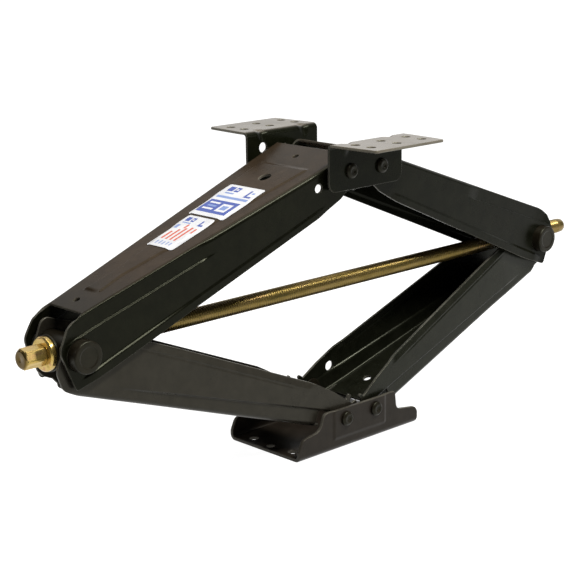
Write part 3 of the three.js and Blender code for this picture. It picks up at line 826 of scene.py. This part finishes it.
def bracket_piece(side, node, name):
    B = BracketSheet(side)
    hl = 55.0
    hr = 51.5 if side > 0 else 55.0
    out = B.t_flange(126.0)
    mid = B.t_flange(78.0)
    loop = rounded([(-hl, 0, 10), (hr, 0, 10), (hr, mid), (hr - 3.5, out, 4), (-hl + 3.5, out, 4), (-hl, mid)], 7)
    holes = [circle(s * 23, B.t_wall(TOP_Z), PIN_R, 24) for s in (-1, 1)]
    for x in (-38, 0, 38):
        for y in (84, 106):
            holes.append(circle(x, B.t_flange(y), 4.8, 24))
    if side > 0:
        holes.append(circle(-31.5, B.t_wall(B.zt - 18.5), 5.5, 24))
    inner = []
    for x in np.arange(-54, 55, 2.0):
        inner += [(x, t) for t in np.arange(1.5, 44, 2.2)]
        inner += [(x, t) for t in np.linspace(44.6, 54.0, 8)]
        inner += [(x, t) for t in np.arange(56, 125, 2.4)]
    p = np.array([[5.0, 20.0]])
    e = 0.05
    n = np.cross(B.point(p + [e, 0]) - B.point(p - [e, 0]), B.point(p + [0, e]) - B.point(p - [0, e]))[0]
    # the reference face looks inwards, towards y = 0
    up = 1 if n[1] * side < 0 else -1
    # painted light: from the bend outwards the flange's top face takes the bracket coat's lighter lit tone (attribute
    # "top")
    edge_t = B.t_flange(B.yi + B.R)
    obj = build_sheet(name, [loop] + holes, inner, B.point, 3.0, None, rim=0.8, step=2.5, up=up,
                      attrs=("top", lambda f: smooth(edge_t - 5, edge_t + 1, f[:, 1])))
    return finish_piece(obj, MAT_TOP, "top", "frame_steel", node)


bracket_piece(-1, "top_bracket_near", "near_bracket_sheet")
bracket_piece(1, "top_bracket_far", "far_bracket_sheet")


# ----------------------------------------------------------- rivets, washers
def rivet_piece(name, x, z, side, face, shank_in, body, node):
    """Head with a dished centre on the wall, shank, formed inner head"""
    f, i = face + 0.3, shank_in - 0.3
    prof = [(0, i - 2.2), (2.5, i - 2.3, 0.6), (4.2, i - 3.0, 0.8), (6.8, i - 2.6, 1.0), (7.6, i, 0.4),
            (5.0, i), (5.0, f), (8.0, f, 0.3), (8.0, f + 2.2, 1.4), (5.2, f + 3.9, 1.2),
            (3.2, f + 3.5, 0.8), (1.8, f + 2.4, 0.6), (0, f + 2.3)]
    prof = soft_profile(prof, 4)
    prof = [(r, side * a) for r, a in prof]
    obj = turned(name, prof, "Y", (x, 0, z), 40)
    return finish_piece(obj, MAT_PIN, body, "pivot_steel", node)


def washer_piece(name, x, z, y0, y1, body, node):
    prof = soft_profile([(5.35, y0, 0), (5.35, y0, 0), (12, y0, 0.4), (12, y1, 0.4), (5.35, y1, 0), (5.35, y1, 0)], 3)
    prof = [(5.35, y0), (11.6, y0), (11.9, y0 + 0.12), (12, y0 + 0.4), (12, y1 - 0.4), (11.9, y1 - 0.12), (11.6, y1), (5.35, y1)]
    obj = turned(name, prof, "Y", (x, 0, z), 40, closed=True)
    return finish_piece(obj, MAT_PIN, body, "pivot_steel", node)


low_in = 23.1 + 0.073 * ARM_L - 3 - 1.3
up_in = 28.5 + 0.081 * ARM_L - 3 - 1.4
up_out = 28.5 + 0.081 * ARM_L + 1.3
for xn, sx in (("left", -1), ("right", 1)):
    for yn, sy in (("near", -1), ("far", 1)):
        x = sx * PIVOT_X
        tag = f"{xn}_{yn}"
        rivet_piece(f"base_pivot_rivet_{tag}", x, PIVOT_Z, sy, 56.1, low_in - 2, "base", f"base_rivet_{tag}")
        rivet_piece(f"top_pivot_rivet_{tag}", x, TOP_Z, sy, 63.7, up_in, "top", f"top_rivet_{tag}")
        a, b = sorted((sy * (low_in - 2), sy * low_in))
        washer_piece(f"base_spacer_{tag}", x, PIVOT_Z, a, b, "base", f"base_washer_{tag}")
        a, b = sorted((sy * up_out, sy * 60.4))
        washer_piece(f"top_spacer_{tag}", x, TOP_Z, a, b, "top", f"top_washer_{tag}")


# -------------------------------------------------------------- the drive line
def cut(obj, tool):
    m = obj.modifiers.new("bore", "BOOLEAN")
    m.operation, m.solver, m.object = "DIFFERENCE", "EXACT", tool
    dg = bpy.context.evaluated_depsgraph_get()
    me = bpy.data.meshes.new_from_object(obj.evaluated_get(dg))
    old = obj.data
    obj.modifiers.clear()
    obj.data = me
    bpy.data.meshes.remove(old)
    tm = tool.data
    bpy.data.objects.remove(tool)
    bpy.data.meshes.remove(tm)
    obj.data.set_sharp_from_angle(angle=math.radians(32))
    return obj


def trunnion_piece(name, x, body, node):
    r, h = 16.0, 41.0
    prof = soft_profile([(0, -h + 0.5), (9.5, -h + 0.5, 1), (10.8, -h, 1), (r, -h, 1.7), (r, h, 1.7), (10.8, h, 1), (9.5, h - 0.5, 1), (0, h - 0.5)], 6)
    obj = turned(name, prof, "Y", (x, 0, TRUN_Z), 96)
    tool = turned("bore_tool", [(0, x - 30), (9.3, x - 30), (9.3, x + 30), (0, x + 30)], "X", (0, 0, TRUN_Z), 48)
    cut(obj, tool)
    return finish_piece(obj, MAT_PIN, body, "pivot_steel", node)


trunnion_piece("left_cross_bar", -TRUN_X, "left_trunnion_body", "left_trunnion")
trunnion_piece("right_cross_bar_nut", TRUN_X, "right_trunnion_body", "right_trunnion_nut")

COLLAR_X0 = -TRUN_X - 16 - 8.6


def screw_piece():
    end = -TRUN_X + 776.0
    x0 = COLLAR_X0 + 3.3
    seg, pitch, depth = 30, 3.175, 0.85
    xs = [x0, x0 + 0.05, COLLAR_X0 + 6.4, COLLAR_X0 + 6.45]
    start = COLLAR_X0 + 26
    stop = end - 10
    xs += [start - 4]
    xs += list(np.arange(start, stop, pitch / 6))
    xs += [stop, end - 3.0, end - 1.6, end - 0.6, end - 0.05, end]
    rows, verts, faces = [], [], []
    for i, x in enumerate(xs):
        row = []
        for k in range(seg):
            th = 2 * math.pi * k / seg
            ph = (x / pitch - th / (2 * math.pi)) % 1.0
            tri = min(1.0, max(0.0, (abs(ph - 0.5) * 2 - 0.22) / 0.5))
            fade = min(1, max(0, (x - start) / 8)) * min(1, max(0, (stop - x) / 4))
            r = 8.85 - depth * tri * fade
            if x <= COLLAR_X0 + 6.4:
                r = 5.4
            if x > end - 3.2:
                r = {0: 8.5, 1: 8.1, 2: 7.4, 3: 6.5, 4: 6.0}.get(i - (len(xs) - 5), 8.5)
            row.append(len(verts))
            verts.append((x, r * math.cos(th), r * math.sin(th)))
        rows.append(row)
    for a, b in zip(rows, rows[1:]):
        for k in range(seg):
            k2 = (k + 1) % seg
            faces.append((a[k], a[k2], b[k2], b[k]))
    faces.append(tuple(rows[0]))
    faces.append(tuple(rows[-1][::-1]))
    V = np.array(verts) + np.array([0, 0, TRUN_Z])
    obj = mesh_object("threaded_screw", V * MM, faces)
    fix_normals(obj)
    obj.data.set_sharp_from_angle(angle=math.radians(48))
    return finish_piece(obj, MAT_ZINC, "screw", "screw_zinc", "drive_screw")


screw_piece()


def hex_piece():
    """Hexagon with a turned chamfer and a soft edge, and a centre mark"""
    x1 = COLLAR_X0 - 0.3
    x0 = x1 - 23.5
    seg = 96
    af = 19.05 / 2
    stations = [(x0 + 0.5, 0.0), (x0 + 0.5, 1.2), (x0 + 0.25, 2.2), (x0, 3.0), (x0, 7.6)]
    rings = []
    for x, r in stations[1:]:
        rings.append([(x, r)] * seg)
    for d in (0.25, 0.6, 1.1, 1.7, 2.4, 3.2, 6, 12, 18, 21.5, 22.6, 23.2, 23.5):
        ring = []
        for k in range(seg):
            th = 2 * math.pi * k / seg
            loc = ((th - math.radians(12)) % (math.pi / 3)) - math.pi / 6
            hexr = af / math.cos(loc)
            hexr = min(hexr, af / math.cos(math.pi / 6) - 0.35)
            cone = 8.0 + d * 1.15
            back = 10.6 if d < 22.9 else 10.6 - (d - 22.9) * 0.9
            ring.append((x0 + d, min(hexr, cone, back)))
        rings.append(ring)
    verts = [(x0 + 0.5, 0, 0)]
    rows = []
    for ring in rings:
        rows.append(list(range(len(verts), len(verts) + seg)))
        for k, (x, r) in enumerate(ring):
            th = 2 * math.pi * k / seg
            verts.append((x, r * math.cos(th), r * math.sin(th)))
    verts.append((x1, 0, 0))
    last = len(verts) - 1
    faces = []
    for k in range(seg):
        k2 = (k + 1) % seg
        faces.append((0, rows[0][k2], rows[0][k]))
        faces.append((last, rows[-1][k], rows[-1][k2]))
    for a, b in zip(rows, rows[1:]):
        for k in range(seg):
            k2 = (k + 1) % seg
            faces.append((a[k], a[k2], b[k2], b[k]))
    V = np.array(verts) + np.array([0, 0, TRUN_Z])
    obj = mesh_object("hex_drive_end", V * MM, faces)
    fix_normals(obj)
    obj.data.set_sharp_from_angle(angle=math.radians(18))
    return finish_piece(obj, MAT_HEX, "screw", "screw_zinc", "hex_drive_head")


hex_piece()

c0 = COLLAR_X0
obj = turned("round_collar", soft_profile([(0, c0 + 3.0), (0, c0), (15.4, c0, 1.0), (16.9, c0 + 1.6, 1.2), (16.9, c0 + 5.8, 0.5),
                                           (5.8, c0 + 5.8, 0.3), (5.8, c0 + 3.0)], 5) + [(0, c0 + 3.0)],
             "X", (0, 0, TRUN_Z), 80)
finish_piece(obj, MAT_HEX, "screw", "screw_zinc", "thrust_collar")
w0, w1 = c0 + 6.1, -TRUN_X - 16 - 0.3
obj = turned("flat_thrust_ring", [(9.3, w0), (17.6, w0), (17.9, w0 + 0.15), (18, w0 + 0.4), (18, w1 - 0.4), (17.9, w1 - 0.15),
                                  (17.6, w1), (9.3, w1)], "X", (0, 0, TRUN_Z), 80, closed=True)
finish_piece(obj, MAT_PIN, "screw", "screw_zinc", "thrust_washer")


# ------------------------------------------------------------------ the labels
def label_material(name, kind):
    """White film with plain colour blocks, no lettering. u and y (mm) come from
    the mesh's own attributes."""
    mat, nt, b = node_material(name)
    L = nt.links

    def attr(n):
        return add_node(nt, "ShaderNodeAttribute", attribute_name=n).outputs["Fac"]

    U, Y = attr("lab_u"), attr("lab_y")

    def math_node(op, a, c, clamp=False):
        n = add_node(nt, "ShaderNodeMath", operation=op)
        n.use_clamp = clamp
        for i, v in enumerate((a, c)):
            if isinstance(v, (int, float)):
                n.inputs[i].default_value = v
            else:
                L.new(v, n.inputs[i])
        return n.outputs[0]

    def span(coord, lo, hi):
        return math_node("MULTIPLY", math_node("GREATER_THAN", coord, lo), math_node("LESS_THAN", coord, hi))

    def rect(u0, u1, y0, y1):
        return math_node("MULTIPLY", span(U, u0, u1), span(Y, y0, y1))

    colour = None
    tc = nt.nodes.new("ShaderNodeTexCoord")
    dirt = add_node(nt, "ShaderNodeTexNoise", Scale=60.0, Detail=4.0)
    L.new(tc.outputs["Object"], dirt.inputs["Vector"])
    colour = ramp(nt, dirt.outputs["Fac"], [(0.3, (0.35, 0.36, 0.39)), (0.7, (0.42, 0.43, 0.45))]).outputs["Color"]

    def paint(mask, rgb):
        nonlocal colour
        m = add_node(nt, "ShaderNodeMix", data_type="RGBA")
        m.inputs["B"].default_value = (*rgb, 1)
        L.new(colour, m.inputs["A"])
        L.new(mask, m.inputs["Factor"])
        colour = m.outputs["Result"]

    BLUE, PALE, RED, WHITE = (0.016, 0.038, 0.20), (0.10, 0.15, 0.32), (0.34, 0.055, 0.028), (0.40, 0.41, 0.44)
    if kind == "upper":
        for r in BLOCKS_UP:
            paint(rect(*r[:4]), {"b": BLUE, "p": PALE, "r": RED, "w": WHITE}[r[4]])
    else:
        for r in BLOCKS_LO:
            paint(rect(*r[:4]), {"b": BLUE, "p": PALE, "r": RED, "w": WHITE}[r[4]])
    L.new(colour, b.inputs["Base Color"])
    b.inputs["Roughness"].default_value = 0.42
    bump = add_node(nt, "ShaderNodeBump", Strength=0.05, Distance=0.0002)
    L.new(dirt.outputs["Fac"], bump.inputs["Height"])
    L.new(bump.outputs["Normal"], b.inputs["Normal"])
    return mat


BLOCKS_UP = [
    (254, 263, 11.5, 20, "b"), (254, 263, 3, 9.5, "b"), (257, 260, 5, 8, "w"), (249, 251.5, 5, 18, "p"),
    (247, 261, -15, -12, "b"), (247, 250, -22, -15, "b"), (255, 258, -21, -17, "p"),
    (240, 244.2, -24, 22, "p"),
    (210, 235, -22, 22, "b"), (215, 230, -17, -2, "w"), (218.5, 226.5, -14, -5, "p"),
    (216, 219, 3, 18, "w"), (222, 225, 3, 16, "p"), (228, 231, 3, 18, "w"),
]
BLOCKS_LO = [
    (189, 196.5, 8.5, 15, "b"), (189, 196.5, 1.5, 6.5, "b"), (191.5, 194, 3, 5.4, "w"), (185, 187, 2, 14, "p"),
    (184, 194, -12, -9.5, "b"), (184, 187, -17, -12, "b"), (174, 181, 11, 15.5, "p"),
] + [(153, 153 + n, y, y + 3.0, "r") for n, y in ((15, 8.5), (20, 2.2), (24, -4.1), (27, -10.4))] + [
    (176, 184, 0.0, 2.6, "r"), (170, 179, -16.6, -14.0, "r"),
    (143, 149, 8, 10, "p"), (143.5, 150, 3, 5, "p"), (143, 149, -2, 0, "p"), (144, 150, -7, -5, "p"), (144, 149, -12, -10, "p"),
]


def label_piece(name, u0, u1, y0, y1, kind, node):
    loop = rounded([(u0, y0, 2.5), (u1, y0, 2.5), (u1, y1, 2.5), (u0, y1, 2.5)], 5)
    inner = [(u, y) for u in np.arange(u0 + 2, u1, 2.5) for y in np.arange(y0 + 2, y1, 2.0)]

    def point(p):
        q = UL.local(p)
        q[:, 2] += 0.55
        return q

    obj = build_sheet(name, [loop], inner, point, 0.3, UL.place, rim=0.1, step=2.5, up=sheet_side(UL))
    me = obj.data
    co = np.zeros(len(me.vertices) * 3)
    me.vertices.foreach_get("co", co)
    co = co.reshape(-1, 3) / MM
    d = co - np.array([-TRUN_X, 0, TRUN_Z])
    u = d[:, 0] * CP + d[:, 2] * SP
    for n, vals in (("lab_u", u), ("lab_y", co[:, 1])):
        at = me.attributes.new(n, "FLOAT", "POINT")
        at.data.foreach_set("value", vals.astype(np.float32))
    return finish_piece(obj, label_material(name + "_film", kind), "upper_left", "label_film", node)


label_piece("upper_label_plate", 203.5, 267, -27, 26, "upper", "label_upper")
label_piece("lower_label_plate", 139, 200, -21, 18.5, "lower", "label_lower")


# ------------------------------------------------------- stage, light, camera
def floor():
    pts, faces = [], []
    n, half = 24, 6.0
    ys = [(-4.0, 0.0), (0.0, 0.0), (2.2, 0.0)] + [
        (2.2 + 1.6 * math.sin(a), 1.6 - 1.6 * math.cos(a)) for a in np.linspace(0.1, math.pi / 2, 12)] + [(3.8, 6.0)]
    yaw = math.radians(43.52)
    f = (math.sin(yaw), math.cos(yaw))
    r = (math.cos(yaw), -math.sin(yaw))
    for d, z in ys:
        for s in (-half, half):
            pts.append((f[0] * d + r[0] * s, f[1] * d + r[1] * s, z))
    for i in range(len(ys) - 1):
        faces.append((2 * i, 2 * i + 1, 2 * i + 3, 2 * i + 2))
    me = bpy.data.meshes.new("studio_sweep")
    me.from_pydata(pts, [], faces)
    me.polygons.foreach_set("use_smooth", [True] * len(faces))
    ob = bpy.data.objects.new("studio_sweep", me)
    bpy.context.scene.collection.objects.link(ob)
    mat, nt, b = node_material("studio_white")
    b.inputs["Base Color"].default_value = (0.22, 0.22, 0.22, 1)
    b.inputs["Roughness"].default_value = 0.9
    b.inputs["Specular IOR Level"].default_value = 0.1
    b.inputs["Emission Color"].default_value = (1, 1, 1, 1)
    b.inputs["Emission Strength"].default_value = 0.95
    me.materials.append(mat)


floor()


def area(name, loc, target, size, power, colour=(1, 1, 1)):
    li = bpy.data.lights.new(name, "AREA")
    li.shape = "RECTANGLE"
    li.size, li.size_y = size
    li.energy = power
    li.color = colour
    ob = bpy.data.objects.new(name, li)
    ob.location = loc
    d = Vector(target) - Vector(loc)
    ob.rotation_euler = d.to_track_quat("-Z", "Y").to_euler()
    bpy.context.scene.collection.objects.link(ob)
    return ob


area("top_box", (0.05, 0.05, 2.2), (0.0, 0.05, 0.1), (1.6, 1.3), 30, (1.0, 0.94, 0.86))
area("left_box", (-1.7, 1.5, 1.3), (-0.1, 0, 0.2), (1.0, 0.8), 5, (1.0, 0.93, 0.85))
area("edge_box", (0.15, -0.95, 1.65), (0.0, 0, 0.18), (1.4, 0.22), 70, (1.0, 0.98, 0.92))

area("front_box", (1.35, -1.9, 0.85), (0.0, 0, 0.2), (0.9, 0.5), 4, (1.0, 0.98, 0.94))

world = bpy.data.worlds.new("studio_air")
bpy.context.scene.world = world
world.use_nodes = True
bg = world.node_tree.nodes["Background"]
bg.inputs[0].default_value = (0.93, 0.95, 1.0, 1)
bg.inputs[1].default_value = 0.10
wn = world.node_tree
seen = wn.nodes.new("ShaderNodeBackground")
seen.inputs[0].default_value = (1, 1, 1, 1)
seen.inputs[1].default_value = 1.0
ray = wn.nodes.new("ShaderNodeLightPath")
pick = wn.nodes.new("ShaderNodeMixShader")
wn.links.new(ray.outputs["Is Camera Ray"], pick.inputs[0])
wn.links.new(bg.outputs[0], pick.inputs[1])
wn.links.new(seen.outputs[0], pick.inputs[2])
wn.links.new(pick.outputs[0], wn.nodes["World Output"].inputs["Surface"])

bpy.context.scene.view_settings.view_transform = "Standard"

cam = bpy.data.cameras.new("camera")
cam.lens, cam.sensor_width, cam.clip_end = 94.1, 36.0, 60.0
co = bpy.data.objects.new("camera", cam)
yaw, pitch, roll = math.radians(43.52), math.radians(-14.29), math.radians(-0.72)
fwd = Vector((math.sin(yaw) * math.cos(pitch), math.cos(yaw) * math.cos(pitch), math.sin(pitch)))
right = Vector((math.cos(yaw), -math.sin(yaw), 0))
upv = right.cross(fwd)
r2 = right * math.cos(roll) + upv * math.sin(roll)
u2 = -right * math.sin(roll) + upv * math.cos(roll)
M = Matrix((r2, u2, -fwd)).transposed().to_4x4()
M.translation = Vector((-1.13066, -1.13291, 0.57318))
co.matrix_world = M
bpy.context.scene.collection.objects.link(co)
bpy.context.scene.camera = co
